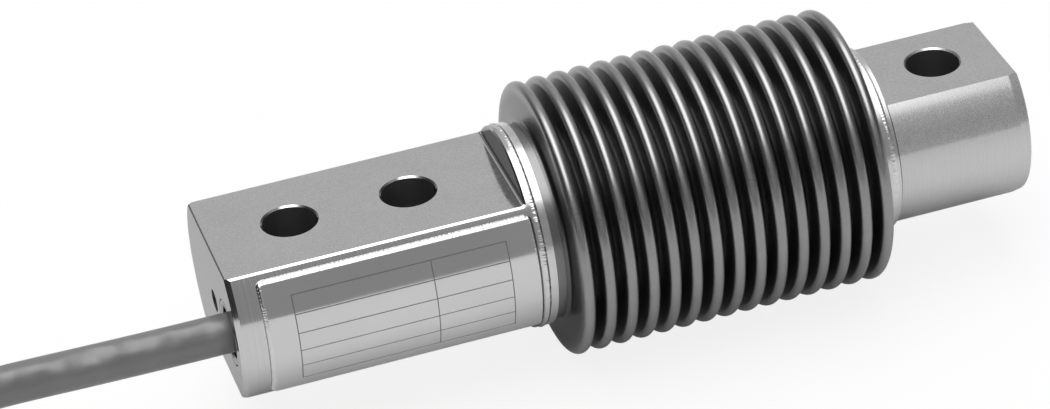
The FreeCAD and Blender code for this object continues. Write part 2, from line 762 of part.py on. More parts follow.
def cable():
    """The cable: its straight run out of the gland, the tied hank, and the bared free end."""
    half_turn = size.turn_pitch / 2
    inner = size.fold_radius - half_turn
    outer = inner + size.turn_pitch * size.turns_across
    right_x = -(size.hank_gap + outer)
    left_x = right_x - size.hank_straight
    bottom_z = floor_z + size.tie_thickness + size.tie_clearance
    height = size.turn_pitch * size.turn_layers
    hank = new_body("cable_hank", y=size.hank_side)
    plan = new_sketch(hank, "XY", out=bottom_z)
    for reach in (outer, inner):
        outline(plan, [
            (left_x, -reach),
            (right_x, -reach, reach, 1),
            (right_x + reach, ZERO, reach, 1),
            (right_x, reach),
            (left_x, reach, reach, 1),
            (left_x - reach, ZERO, reach, 1),
        ])
    pad(hank, plan, height)

    # A tie round each long side of the hank
    gap, band = size.tie_clearance, size.tie_thickness
    for label, side in (("hank_tie_front", -1), ("hank_tie_back", 1)):
        tie = new_body(label, y=size.hank_side)
        loop = new_sketch(tie, "YZ", out=(left_x + right_x - size.tie_width) / 2)
        for grow in (gap + band, gap):
            low_z, high_z = bottom_z - grow, bottom_z + height + grow
            outline(loop, rectangle((inner - grow) * side, low_z, (outer + grow) * side, high_z))
        pad(tie, loop, size.tie_width)

    # The lead joins the outer turn half way up, and the tail leaves an inner turn near the bottom
    hank_shape = hank.Shape.copy()
    hank_shape.translate(FreeCAD.Vector(-origin_x.value, 0, -origin_z.value))
    layer_z = [(bottom_z + half_turn + size.turn_pitch * n).value for n in range(4)]
    exit_y, exit_z = -size.cable_offset.value, -size.cable_drop.value
    inner_y = (size.hank_side - size.fold_radius).value
    outer_y = inner_y - size.turn_pitch.value
    cord_tube("cable_lead", [
        (size.pocket_start.value, exit_y, exit_z),
        (-12, exit_y, exit_z),
        (-42, exit_y, exit_z + 0.85),
        (right_x.value, outer_y, layer_z[3]),
        (right_x.value - 34, outer_y, layer_z[3]),
    ], hank_shape)
    tail_z = (floor_z + size.cable_diameter / 2).value
    tail_end = FreeCAD.Vector(right_x.value - 47, inner_y + 11.7, tail_z)
    cord_tube("cable_end", [
        (right_x.value + 6, inner_y, layer_z[1]),
        (right_x.value - 20, inner_y + 11.7, tail_z),
        tuple(tail_end),
    ], hank_shape)
    bared_cores(tail_end)


def bared_cores(tail_end):
    """Six cores fanned out of the cut sheath, each with a stripped and twisted strand."""
    # Place of each core around the cable's middle, in the order in which their ends lie side by side
    around = {"black": 150, "blue": 210, "white": 270, "red": 90, "green": 330, "grey": 30}
    tips = []
    for number, (colour, degrees) in enumerate(around.items()):
        turn = math.radians(degrees)
        ring_radius = size.tail_ring.value
        start = tail_end + FreeCAD.Vector(
            -size.tail_gap.value, ring_radius * math.cos(turn), ring_radius * math.sin(turn))
        end = FreeCAD.Vector(
            tail_end.x - size.tail_core_length.value,
            tail_end.y + size.tail_fan.value * (number - (len(around) - 1) / 2),
            (floor_z + size.tail_core).value)
        along = (end - start).normalize()
        turned = FreeCAD.Rotation(FreeCAD.Vector(0, 0, 1), along)
        core = doc.addObject("Part::Cylinder", f"core_{colour}")
        core.Label = f"core_{colour}"
        tip = doc.addObject("Part::Cylinder", f"tip_{colour}")
        for wire, reach in ((core, 0), (tip, size.tail_core_length.value)):
            spot = start + along * reach + FreeCAD.Vector(origin_x.value, 0, origin_z.value)
            wire.Placement = FreeCAD.Placement(spot, turned)
        bind(core, "Radius", size.tail_core / 2)
        bind(core, "Height", size.tail_core_length)
        bind(tip, "Radius", size.tip_diameter / 2)
        bind(tip, "Height", size.tip_length)
        tips.append(tip)
    group("core_tips", tips)


measuring_beam()
bellows()
support_rings()
weld_beads()
cover_plate()
cable_gland()
wiring()
strain_gauges()
cable()
doc.recompute()

# What belongs to a group is written with its group
grouped = [member for item in doc.Objects if item.isDerivedFrom("Part::Compound") for member in item.Links]
kinds = ("PartDesign::Body", "Part::Box", "Part::Cylinder", "Part::Compound", "Part::Feature")
pieces = [item for item in doc.Objects if item.TypeId in kinds and item not in grouped]
for item in doc.Objects:
    if "Invalid" in item.State or "Error" in item.State:
        raise RuntimeError(f"{item.Label} did not build: {item.State}")
for piece in pieces:
    if piece.Shape.isNull() or not piece.Shape.isValid():
        raise RuntimeError(f"{piece.Label} has no sound shape")

os.makedirs("parts", exist_ok=True)
for piece in pieces:
    piece.Shape.exportStep(os.path.join("parts", f"{piece.Label}.step"))
    print(piece.Label, len(piece.Shape.Solids), round(piece.Shape.Volume, 2))
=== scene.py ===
import math
import random
import bmesh
import bpy
from mathutils import Matrix, Vector


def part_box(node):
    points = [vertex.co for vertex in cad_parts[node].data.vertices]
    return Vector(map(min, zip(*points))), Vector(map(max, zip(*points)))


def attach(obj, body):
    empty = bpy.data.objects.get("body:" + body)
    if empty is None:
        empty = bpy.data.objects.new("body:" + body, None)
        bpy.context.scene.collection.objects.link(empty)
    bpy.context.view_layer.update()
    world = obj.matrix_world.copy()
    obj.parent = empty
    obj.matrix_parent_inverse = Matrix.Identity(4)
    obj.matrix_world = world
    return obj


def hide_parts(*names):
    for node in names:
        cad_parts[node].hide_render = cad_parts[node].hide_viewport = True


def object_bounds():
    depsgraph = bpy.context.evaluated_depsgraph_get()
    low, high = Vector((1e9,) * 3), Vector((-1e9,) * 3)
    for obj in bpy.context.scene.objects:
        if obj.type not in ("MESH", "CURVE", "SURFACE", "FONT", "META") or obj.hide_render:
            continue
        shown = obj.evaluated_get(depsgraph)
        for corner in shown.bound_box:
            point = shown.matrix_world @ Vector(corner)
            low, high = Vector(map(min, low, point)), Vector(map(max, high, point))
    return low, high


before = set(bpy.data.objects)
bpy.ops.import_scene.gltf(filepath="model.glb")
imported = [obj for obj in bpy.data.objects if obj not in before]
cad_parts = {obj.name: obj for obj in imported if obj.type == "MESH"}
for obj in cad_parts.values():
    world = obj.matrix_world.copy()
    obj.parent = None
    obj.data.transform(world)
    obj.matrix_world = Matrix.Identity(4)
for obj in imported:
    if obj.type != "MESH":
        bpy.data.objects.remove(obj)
cad_low, cad_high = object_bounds()


# Measuring beam: a stainless bar, turned round at its ends and milled flat above and below.
# The flats are ground dull, the sides keep fine turning lines and the end faces are faced off.
# Shade is painted dark inside the holes and turning centres, and a thin painted shadow line runs beside the
# weld sleeve.
MM = 0.001
beam_low, beam_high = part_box("measuring_beam")
sleeve_low, sleeve_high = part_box("load_sleeve")
cable_face_x = beam_low.x
axis_z = (beam_low.z + beam_high.z) / 2
bar_radius = (beam_high.z - beam_low.z) / 2
bar_middle_x = (beam_low.x + beam_high.x) / 2
bar_half_length = (beam_high.x - beam_low.x) / 2
flat_height = 20.8 * MM
bore_radius = 4.1 * MM
bore_margin = 0.2 * MM
bore_mouth = 0.3 * MM
centre_radius = 1.75 * MM
centre_reach = 4.1 * MM
centre_lip = 0.02 * MM
sleeve_shadow_width = 0.33 * MM
square_on = 0.99
low_gleam = (0.6, 0.6, 0.6, 1)
# Grain finer than a pixel, whose two ends give a sharp and a soft gleam at once
satin_scale = 22000
satin_step = (0.42, 0.58)


class Nodes:
    """Short ways to add nodes to a tree and to join them."""

    def __init__(self, tree):
        self.tree = tree

    def feed(self, node, inputs):
        """Links or plain values for a node's inputs."""
        for key, value in inputs.items():
            if isinstance(value, bpy.types.NodeSocket):
                self.tree.links.new(value, node.inputs[key])
            else:
                node.inputs[key].default_value = value

    def add(self, kind, inputs=None, **settings):
        node = self.tree.nodes.new(f"ShaderNode{kind}")
        for key, value in settings.items():
            setattr(node, key, value)
        self.feed(node, inputs or {})
        return node

    def maths(self, operation, *values):
        return self.add("Math", dict(enumerate(values)), operation=operation).outputs[0]

    def both(self, first, second):
        """One where both shares are one."""
        return self.maths("MULTIPLY", first, second)

    def within(self, value, middle, reach):
        """One where the value lies within reach of the middle."""
        return self.maths("COMPARE", value, middle, reach)

    def split(self, vector):
        return self.add("SeparateXYZ", {"Vector": vector}).outputs

    def ramp(self, value, start, end, low=0.0, high=1.0):
        """A smooth step from low to high while the value goes from start to end."""
        inputs = {"Value": value, "From Min": start, "From Max": end, "To Min": low, "To Max": high}
        return self.add("MapRange", inputs, interpolation_type="SMOOTHSTEP").outputs[0]

    def blend(self, share, first, second):
        """The first value where the share is nought, the second where it is one."""
        return self.add("Mix", {0: share, 2: first, 3: second}, data_type="FLOAT").outputs[0]


class Finish(Nodes):
    """One material: its shader with plain values, and the grain, lines and tints that take their place."""

    def __init__(self, name, colour, roughness, metallic=1.0):
        self.material = bpy.data.materials.new(name)
        self.material.use_nodes = True
        super().__init__(self.material.node_tree)
        self.shader = self.tree.nodes["Principled BSDF"]
        self.shade({"Base Color": (*colour, 1), "Roughness": roughness, "Metallic": metallic})
        self.place = self.add("TexCoord").outputs["Object"]
        self.x, self.y, self.z = self.split(self.place)

    def shade(self, inputs):
        self.feed(self.shader, inputs)

    def noise(self, scale, detail=2.0, stretch=(1, 1, 1)):
        spread = self.add("Mapping", {"Vector": self.place, "Scale": stretch}).outputs[0]
        return self.add("TexNoise", {"Vector": spread, "Scale": scale, "Detail": detail}).outputs[0]

    def lines(self, position, pitch, detail=2.0):
        """Noise that changes along one length only, as a cutter leaves it."""
        scaled = self.maths("DIVIDE", position, pitch)
        inputs = {"W": scaled, "Scale": 1.0, "Detail": detail}
        return self.add("TexNoise", inputs, noise_dimensions="1D").outputs[0]

    def tint(self, share, first, second):
        """Greys from first to second, or colours where three numbers are given."""
        ends = [(*end, 1) if isinstance(end, tuple) else (end, end, end, 1) for end in (first, second)]
        mixed = self.add("Mix", {0: share, 6: ends[0], 7: ends[1]}, data_type="RGBA").outputs[2]
        self.shade({"Base Color": mixed})
        return mixed

    def darken(self, colour, share, amount):
        """The colour multiplied by a grey amount where the share is one."""
        inputs = {0: share, 6: colour, 7: (amount, amount, amount, 1)}
        mixed = self.add("Mix", inputs, data_type="RGBA", blend_type="MULTIPLY").outputs[2]
        self.shade({"Base Color": mixed})
        return mixed

    def rough(self, share, low, high):
        amount = self.add("MapRange", {"Value": share, "To Min": low, "To Max": high}).outputs[0]
        self.shade({"Roughness": amount})

    def bump(self, height, depth):
        made = self.add("Bump", {"Height": height, "Distance": depth})
        self.shade({"Normal": made.outputs[0]})

    def dress(self, *nodes):
        """The material goes on CAD nodes that stay as they are."""
        for node in nodes:
            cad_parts[node].material_slots[0].material = self.material

    def height(self):
        """Height above the bar's axis."""
        return self.maths("SUBTRACT", self.z, axis_z)

    def off_axis(self):
        """Distance from the bar's axis."""
        up = self.height()
        squares = self.maths("ADD", self.maths("MULTIPLY", self.y, self.y), self.maths("MULTIPLY", up, up))
        return self.maths("SQRT", squares)


bar = Finish("ground_bar_steel", (0.54, 0.54, 0.54), 0.2)
bar.shade({"Specular Tint": low_gleam})
facing = bar.split(bar.add("NewGeometry").outputs["True Normal"])
on_flat = bar.maths("GREATER_THAN", bar.maths("ABSOLUTE", facing[2]), square_on)
on_end = bar.maths("GREATER_THAN", bar.maths("ABSOLUTE", facing[0]), square_on)
on_load_end = bar.maths("GREATER_THAN", bar.x, sleeve_low.x)
near_middle = bar.maths("LESS_THAN", bar.maths("ABSOLUTE", bar.y), bore_radius + bore_margin)
past_mouth = bar.maths("LESS_THAN", bar.maths("ABSOLUTE", bar.height()), flat_height / 2 - bore_mouth)
in_bore = bar.both(bar.both(near_middle, past_mouth), bar.maths("SUBTRACT", 1.0, on_end))
past_face = bar.within(bar.x, bar_middle_x, bar_half_length - centre_lip)
past_centre = bar.within(bar.x, bar_middle_x, bar_half_length - centre_reach)
near_axis = bar.maths("LESS_THAN", bar.off_axis(), centre_radius)
in_centre = bar.both(near_axis, bar.maths("SUBTRACT", past_face, past_centre))
# Where a thin shadow line is painted on the bar beside the weld sleeve's end
sleeve_shadow_line = bar.within(bar.x, sleeve_high.x + sleeve_shadow_width / 2, sleeve_shadow_width / 2)
ground_grain = bar.noise(3000, 3, stretch=(0.4, 1, 1))
blasted_grain = bar.noise(satin_scale, 1)
turning_lines = bar.lines(bar.x, 0.16 * MM, 3)
facing_lines = bar.lines(bar.off_axis(), 0.2 * MM)
grain = bar.blend(on_flat, turning_lines, ground_grain)
bar.bump(bar.blend(on_end, grain, facing_lines), 0.0012 * MM)
ground_specks = bar.ramp(bar.noise(5500, 1), 0.3, 0.7)
ground_tone = bar.blend(0.5, bar.noise(140, 3), ground_specks)
steel_tone_and_shade = bar.tint(bar.blend(on_flat, turning_lines, ground_tone), 0.45, 0.62)
# Painted shade inside the holes and turning centres, a painted shadow line beside the sleeve, and darker
# end faces
for where, amount in ((in_bore, 0.45), (in_centre, 0.2), (sleeve_shadow_line, 0.2), (on_end, 0.7)):
    steel_tone_and_shade = bar.darken(steel_tone_and_shade, where, amount)
side_roughness = bar.ramp(turning_lines, 0.2, 0.8, low=0.08, high=0.18)
load_roughness = bar.ramp(blasted_grain, *satin_step, low=0.12, high=0.5)
flat_roughness = bar.ramp(ground_grain, 0.3, 0.7, low=0.06, high=0.18)
side_roughness = bar.blend(on_load_end, side_roughness, load_roughness)
side_roughness = bar.blend(in_bore, side_roughness, 0.5)
bar.shade({"Roughness": bar.blend(on_flat, side_roughness, flat_roughness)})
bar.dress("measuring_beam")


# Bellows: thin stainless sheet formed into fifteen waves, with a plain cuff on the collar's side
# and a necked cuff on the load end. The folds between the bright crests are darkened with painted shade.
bellows_low, bellows_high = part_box("bellows")
crest_radius = (bellows_high.z - bellows_low.z) / 2
root_radius = 14.9 * MM
sheet = 0.25 * MM
waves = 15
fixed_cuff = 3.08 * MM
load_cuff = 2.17 * MM
load_seat = 1.3 * MM
load_radius = 13.5 * MM
roots_start = bellows_low.x + fixed_cuff
roots_end = bellows_high.x - load_cuff
wave_pitch = (roots_end - roots_start) / waves
wide_bend = wave_pitch / 4 + sheet / 2
tight_bend = wave_pitch / 4 - sheet / 2
# Steps of the bends at a root and at a crest, and round the bar
outer_steps = (4, 12)
inner_steps = (3, 6)
SEGMENTS = 144
# Painted shade in the folds, from its full depth to the bright crests, and on the first wave's outer wall
fold_depth = 2.5 * MM
crest_depth = 0.3 * MM
plate_margin = 0.2 * MM
plate_share = (0.3, 0.5)


def arc(centre_x, centre_radius, radius, first, last, steps):
    """Points of a section on an arc, with its angles in degrees from the +X side outwards."""
    turns = [math.radians(first + (last - first) * step / steps) for step in range(steps + 1)]
    return [(centre_x + radius * math.cos(t), centre_radius + radius * math.sin(t)) for t in turns]


def wave(start_x, root_bend, crest_bend, root_steps, crest_steps):
    """Section of one face of the sheet over one wave, from root to root."""
    root_height = root_radius + tight_bend
    crest_height = crest_radius - wide_bend
    points = arc(start_x, root_height, root_bend, -90, 0, root_steps)
    points += arc(start_x + wave_pitch / 2, crest_height, crest_bend, 180, 0, crest_steps)
    points += arc(start_x + wave_pitch, root_height, root_bend, 180, 270, root_steps)[:-1]
    return points


def on_bar(x, radius, turn):
    """A place by its length along the bar, its radius and its turn from the top towards the front."""
    return x, -radius * math.sin(turn), axis_z + radius * math.cos(turn)


def skin(name, rings, closed):
    """Rings of points joined into one skin, whose row of rings closes on itself or is capped."""
    count = len(rings[0])
    last = len(rings) if closed else len(rings) - 1
    faces = []
    for number in range(last):
        here = number * count
        following = (number + 1) % len(rings) * count
        for index in range(count):
            after = (index + 1) % count
            faces.append((here + index, here + after, following + after, following + index))
    if not closed:
        faces.append(tuple(range(count)))
        faces.append(tuple(range((len(rings) - 1) * count, len(rings) * count)))
    mesh = bpy.data.meshes.new(name)
    mesh.from_pydata([spot for ring in rings for spot in ring], [], faces)
    made = bmesh.new()
    made.from_mesh(mesh)
    bmesh.ops.recalc_face_normals(made, faces=made.faces)
    made.to_mesh(mesh)
    made.free()
    return mesh


def turned(name, section):
    """A closed section of (x, radius) points, turned about the bar's axis."""
    turns = [2 * math.pi * step / SEGMENTS for step in range(SEGMENTS)]
    return skin(name, [[on_bar(x, radius, turn) for x, radius in section] for turn in turns], True)


def join(piece, nodes):
    """The piece joins the object, in place of its CAD nodes if it has any."""
    bpy.context.scene.collection.objects.link(piece)
    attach(piece, "root")
    if nodes:
        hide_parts(*nodes)
    return piece


def add_piece(name, mesh, finish, slot, *nodes, sharp):
    """A mesh becomes a piece, smooth but for edges that turn by more than the sharp angle."""
    for polygon in mesh.polygons:
        polygon.use_smooth = True
    mesh.set_sharp_from_angle(angle=math.radians(sharp))
    mesh.materials.append(finish.material)
    return join(bpy.data.objects.new(name, mesh), nodes)


outer_side = []
inner_side = []
for number in range(waves):
    wave_x = roots_start + wave_pitch * number
    outer_side += wave(wave_x, tight_bend, wide_bend, *outer_steps)
    inner_side += wave(wave_x, wide_bend, tight_bend, *inner_steps)
seat_x = bellows_high.x - load_seat
bellows_section = [(bellows_low.x, root_radius)] + outer_side + [
    (roots_end, root_radius),
    (seat_x, load_radius + sheet),
    (bellows_high.x, load_radius + sheet),
    (bellows_high.x, load_radius),
    (seat_x - sheet / 2, load_radius),
    (roots_end, root_radius - sheet),
] + inner_side[::-1] + [(bellows_low.x, root_radius - sheet)]
formed = Finish("formed_bellows_sheet", (0.265, 0.265, 0.265), 0.25)
sheet_patches = formed.noise(260, 3)
drawn_lines = formed.lines(formed.off_axis(), 0.2 * MM)
formed.bump(formed.maths("ADD", drawn_lines, formed.maths("MULTIPLY", sheet_patches, 2.0)), 0.0015 * MM)
sheet_tone_and_shade = formed.tint(sheet_patches, 0.235, 0.295)
fold_shade_limits = [crest_radius - depth for depth in (fold_depth, crest_depth)]
# Painted shade in the folds, fullest deep down and gone at the crests
fold_shade = formed.ramp(formed.off_axis(), *fold_shade_limits, low=1.0, high=0.0)
plate_limits = [roots_start + wave_pitch * share for share in plate_share]
before_waves = formed.ramp(formed.x, *plate_limits, low=1.0, high=0.0)
# Painted shade on the first wave's outer wall, next to the collar
plate_shade = formed.both(before_waves, formed.ramp(formed.x, roots_start - plate_margin, roots_start))
sheet_tone_and_shade = formed.darken(sheet_tone_and_shade, fold_shade, 0.68)
formed.darken(sheet_tone_and_shade, formed.both(fold_shade, plate_shade), 0.6)
satin = formed.noise(satin_scale, 1)
formed.shade({"Roughness": formed.ramp(satin, *satin_step, low=0.21, high=0.42)})
bellows_mesh = turned("bellows_waves", bellows_section)
add_piece("bellows_waves", bellows_mesh, formed, "bellows_steel", "bellows", sharp=35)


# Support rings and weld sleeve: short turned steel rings over the cuffs of the bellows.
# They back the thin sheet while it is welded, and keep the marks of that heat.
ring_steel = Finish("ring_steel", (0.58, 0.58, 0.58), 0.2)
ring_lines = ring_steel.lines(ring_steel.x, 0.12 * MM)
ring_heat = ring_steel.noise(700, 4)
ring_steel.bump(ring_steel.maths("ADD", ring_lines, ring_heat), 0.003 * MM)
ring_steel.tint(ring_heat, 0.48, 0.64)
ring_steel.rough(ring_heat, 0.1, 0.34)
ring_steel.dress("fixed_ring", "load_ring", "load_sleeve")


# Weld beads: a run of small overlapping spots round each seam, so that the bead is finely scaled.
# They are of weld metal from the parts they join. A like bead runs round the foot of the cover plate.
spot_pitch = 0.19 * MM
spot_width = (1.15, 1.3)
spot_height = (0.65, 1.2)
spot_ripple = (0.15, 0.6)
spot_steps = (2, 3, 4)
bead_stations = (-1.0, -0.7, -0.35, 0.0, 0.35, 0.7, 1.0)
fixed_leg = 0.4 * MM
fixed_crown = 0.15 * MM
load_crown = 0.1 * MM
edge_sink = 0.02 * MM
weld = Finish("weld_metal", (0.62, 0.62, 0.62), 0.2)
weld_grain = weld.noise(2600, 4)
weld.bump(weld_grain, 0.02 * MM)
weld.tint(weld_grain, 0.45, 0.75)
weld.rough(weld_grain, 0.1, 0.32)
chance = random.Random(7)


def bead_profile(path_length):
    """Width and height factors along a bead, spot by spot, each spot a little different."""
    factors = []
    for _ in range(round(path_length / spot_pitch)):
        width = chance.uniform(*spot_width)
        height = chance.uniform(*spot_height)
        ripple = chance.uniform(*spot_ripple)
        steps = chance.choice(spot_steps)
        for step in range(steps):
            rise = math.sin(math.pi * (step + 0.5) / steps)
            factors.append((width, height * (1 - ripple + ripple * rise)))
    return factors


def seam_bead(name, seam_x, radius, leg, crown):
    """A bead in the groove of a seam round the bar, with its point at the groove's bottom."""
    factors = bead_profile(2 * math.pi * radius)
    rings = []
    for number, (width, height) in enumerate(factors):
        turn = 2 * math.pi * number / len(factors)
        ring = [on_bar(seam_x, radius - leg, turn)]
        for across in bead_stations:
            fall = across * across
            rise = crown * height * (1 - fall) ** 2 - edge_sink * fall
            ring.append(on_bar(seam_x + leg * across * width, radius + rise, turn))
        rings.append(ring)
    add_piece(name, skin(name, rings, True), weld, "weld_metal", name.replace("_bead", ""), sharp=75)


ring_low, ring_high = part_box("load_ring")
load_ring_radius = (ring_high.z - ring_low.z) / 2
load_leg = load_ring_radius - load_radius - sheet
seam_bead("fixed_weld_bead", bellows_low.x, bar_radius, fixed_leg, fixed_crown)
seam_bead("load_weld_bead", bellows_high.x, load_ring_radius, load_leg, load_crown)


# Cover plate: a curved stainless sheet welded over the wiring pocket on the front of the fixed end.
# A blank rating table is etched on it: thin dull rules, with nothing filled in.
cover_low, cover_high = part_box("cover_plate")
cover_radius = -cover_low.y
cover_half_angle = math.radians(34.75)
cover_middle_radius = (cover_radius + bar_radius) / 2
cover_corner = 0.35 * MM
corner_steps = 6
QUADRANTS = ((1, 1), (-1, 1), (-1, -1), (1, -1))
# The bead's reach at the cover's ends and sides, its section in degrees, and how it sits on cover and bar
cover_bead_end = 0.6 * MM
cover_bead_side = 0.84 * MM
bead_leans = (-20, 0, 15, 30, 45, 60, 75, 90)
bead_over_face = 0.02 * MM
bead_crown = 0.05 * MM
bead_in_bar = 0.06 * MM
bead_under_cover = 0.3 * MM
bead_underside = 0.1 * MM


def cover_edge():
    """Points round the cover's plain face as (length, arc), each with its outward direction."""
    half_length = (cover_high.x - cover_low.x) / 2 - cover_corner
    half_arc = cover_half_angle * cover_middle_radius - cover_corner
    middle = (cover_high.x + cover_low.x) / 2
    points = []
    for quarter, (side, level) in enumerate(QUADRANTS):
        corner = Vector((middle + side * half_length, level * half_arc))
        for step in range(corner_steps + 1):
            turn = math.radians(90 * quarter + 90 * step / corner_steps)
            out = Vector((math.cos(turn), math.sin(turn)))
            points.append((corner + out * cover_corner, out))
    return points


def on_cover(point, radius):
    """A place by its (length, arc) on the cover, at a radius from the bar's axis."""
    return on_bar(point.x, radius, math.pi / 2 - point.y / cover_middle_radius)


def cover_bead():
    """A bead over the cover's four edges, on the round of the bar, from the cover's face to the bar."""
    points = cover_edge()
    runs = []
    for (here, out), (there, _) in zip(points, points[1:] + points[:1]):
        runs.append((here, out, there, (there - here).length))
    path_length = sum(run[3] for run in runs)
    factors = bead_profile(path_length)
    step = path_length / len(factors)
    rings = []
    travelled = 0.0
    for here, out, there, length in runs:
        while len(rings) * step < travelled + length and len(rings) < len(factors):
            spot = here.lerp(there, (len(rings) * step - travelled) / length)
            width, height = factors[len(rings)]
            reach = cover_bead_end + (cover_bead_side - cover_bead_end) * out.y * out.y
            reach *= 0.5 + width / 2
            crown = cover_radius - bar_radius + bead_over_face + bead_crown * height
            ring = []
            for degrees in bead_leans:
                lean = math.radians(degrees)
                level = bar_radius - bead_in_bar + crown * math.cos(lean)
                ring.append(on_cover(spot + out * reach * math.sin(lean), level))
            ring.append(on_cover(spot - out * bead_under_cover, bar_radius + bead_underside))
            rings.append(ring)
        travelled += length
    add_piece("cover_weld", skin("cover_weld", rings, True), weld, "weld_metal", sharp=60)


cover_bead()
cover = Finish("cover_sheet_steel", (0.56, 0.56, 0.56), 0.12)
cover_patches = cover.noise(130, 3, stretch=(0.5, 1, 1))
brushed = cover.noise(3200, 2, stretch=(0.06, 1, 1))
cover.bump(brushed, 0.0006 * MM)
cover_tone = cover.tint(cover_patches, 0.53, 0.59)
# Position round the bar from its middle height, upwards, and along it from the cover's cable end
angle = cover.maths("ARCTAN2", cover.height(), cover.maths("MULTIPLY", cover.y, -1.0))
around = cover.maths("MULTIPLY", angle, cover_radius)
along = cover.maths("SUBTRACT", cover.x, cover_low.x)
table_left = 4.0 * MM
table_divider = 25.0 * MM
table_right = 36.5 * MM
table_half_height = 7.5 * MM
rule_pitch = 3.0 * MM
half_rule = 0.16 * MM / 2
table_middle = (table_left + table_right) / 2
table_half_length = (table_right - table_left) / 2
in_height = cover.maths("LESS_THAN", cover.maths("ABSOLUTE", around), table_half_height + half_rule)
in_length = cover.within(along, table_middle, table_half_length + half_rule)
from_rule = cover.maths("PINGPONG", cover.maths("ADD", around, table_half_height), rule_pitch / 2)
on_table = cover.maths("LESS_THAN", from_rule, half_rule)
for rule_x in (table_left, table_divider, table_right):
    on_table = cover.maths("MAXIMUM", on_table, cover.within(along, rule_x, half_rule))
on_table = cover.both(on_table, cover.both(in_height, in_length))
cover.darken(cover_tone, on_table, 0.35)
cover_roughness = cover.ramp(cover_patches, 0.3, 0.7, low=0.07, high=0.13)
cover.shade({"Roughness": cover.blend(on_table, cover_roughness, 0.5)})
cover.dress("cover_plate")


# Cable gland: a steel bush pressed into the end face, with a black rubber seal round the cable.
# The bush is turned from the same steel as the bar.
bush_steel = Finish("bush_steel", (0.42, 0.42, 0.42), 0.25)
bush_steel.shade({"Specular Tint": low_gleam})
bush_grain = bush_steel.noise(1800, 3)
bush_steel.bump(bush_grain, 0.003 * MM)
bush_steel.tint(bush_grain, 0.34, 0.5)
bush_steel.rough(bush_grain, 0.15, 0.32)
bush_steel.dress("gland_bush")
rubber = Finish("seal_rubber", (0.02, 0.02, 0.02), 0.6, metallic=0.0)
rubber_grain = rubber.noise(1500, 3)
rubber.bump(rubber_grain, 0.02 * MM)
rubber.tint(rubber_grain, 0.012, 0.03)
rubber.dress("cable_seal")


# Cable: six cores and a screen in a round grey sheath, three metres long. It leaves the gland straight,
# and the length past the first bend is folded into a hank in line with the bar and tied.
cable_diameter = 6.0 * MM
hank_low, hank_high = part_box("cable_hank")
turn_layers = 6
turn_pitch = (hank_high.z - hank_low.z) / turn_layers
hank_reach = (hank_high.y - hank_low.y) / 2
inner_fold = hank_reach - turn_pitch * 1.5
hank_y = (hank_low.y + hank_high.y) / 2
right_x = hank_high.x - hank_reach
left_x = hank_low.x + hank_reach
straight = right_x - left_x
HALF_FACET = math.radians(15)
straight_steps = 4
fold_steps = 6
turn_steps = 2 * (straight_steps + fold_steps)
# Order of the turns, as (column from the inside, layer from the floor)
winding = [(1, 3), (1, 4), (1, 5), (0, 5), (0, 4), (0, 3), (0, 2), (1, 2), (1, 1), (1, 0), (0, 0), (0, 1)]
first_crossing = 13.3
crossing_shift = 1.5
crossing_steps = 4.0
line_steps = 6


def from_cable_end(x, y, z):
    """A place measured in millimetres from the cable end's face and the bar's axis."""
    return cable_face_x + x * MM, y * MM, axis_z + z * MM


def crossing_starts():
    """Step at which each turn moves over to the next, a little earlier after each corner of the winding."""
    starts = [first_crossing]
    for before, here, after in zip(winding, winding[1:], winding[2:]):
        turns_corner = (here[0] == before[0]) != (after[0] == here[0])
        starts.append(starts[-1] - crossing_shift * turns_corner)
    return [turn_steps * number + start for number, start in enumerate(starts)]


def hank_plan(step, reach):
    """Plan of one turn: front side, left fold, back side and right fold."""
    margin = inner_fold * math.tan(HALF_FACET)
    side, spot = divmod(step, straight_steps + fold_steps)
    sign = -1 if side == 0 else 1
    if spot < straight_steps:
        run = margin + (straight - 2 * margin) * spot / (straight_steps - 1)
        return (right_x - run if side == 0 else left_x + run), hank_y + reach * sign
    turn = HALF_FACET * (1 + 2 * (spot - straight_steps))
    corner = reach / math.cos(HALF_FACET)
    pivot = left_x if side == 0 else right_x
    return pivot + corner * math.sin(turn) * sign, hank_y + corner * math.cos(turn) * sign


def eased(amount):
    """A share from nought to one that starts and ends gently."""
    amount = min(max(amount, 0.0), 1.0)
    return amount * amount * (3 - 2 * amount)


def hank_turns():
    """Route of the hank: turn after turn in the order of the winding, each easing over to the next."""
    starts = crossing_starts()
    spots = []
    for step in range(turn_steps * (len(winding) - 1)):
        column, layer = winding[0]
        for start, here, after in zip(starts, winding, winding[1:]):
            moved = eased((step - start) / crossing_steps)
            column += moved * (after[0] - here[0])
            layer += moved * (after[1] - here[1])
        x, y = hank_plan(step % turn_steps, inner_fold + turn_pitch * column)
        spots.append((x, y, hank_low.z + turn_pitch * (layer + 0.5)))
    return spots


def tube(name, route, diameter, finish, slot, *nodes, roundness):
    """A round cord or core along a smooth line that the points of its route lead."""
    line = bpy.data.curves.new(name, "CURVE")
    line.dimensions = "3D"
    spline = line.splines.new("NURBS")
    spline.points.add(len(route) - 1)
    for point, spot in zip(spline.points, route):
        point.co = (*spot, 1)
    spline.order_u = 3
    spline.use_endpoint_u = True
    spline.resolution_u = line_steps
    line.bevel_depth = diameter / 2
    line.bevel_resolution = roundness
    line.use_fill_caps = True
    line.materials.append(finish.material)
    return join(bpy.data.objects.new(name, line), nodes)


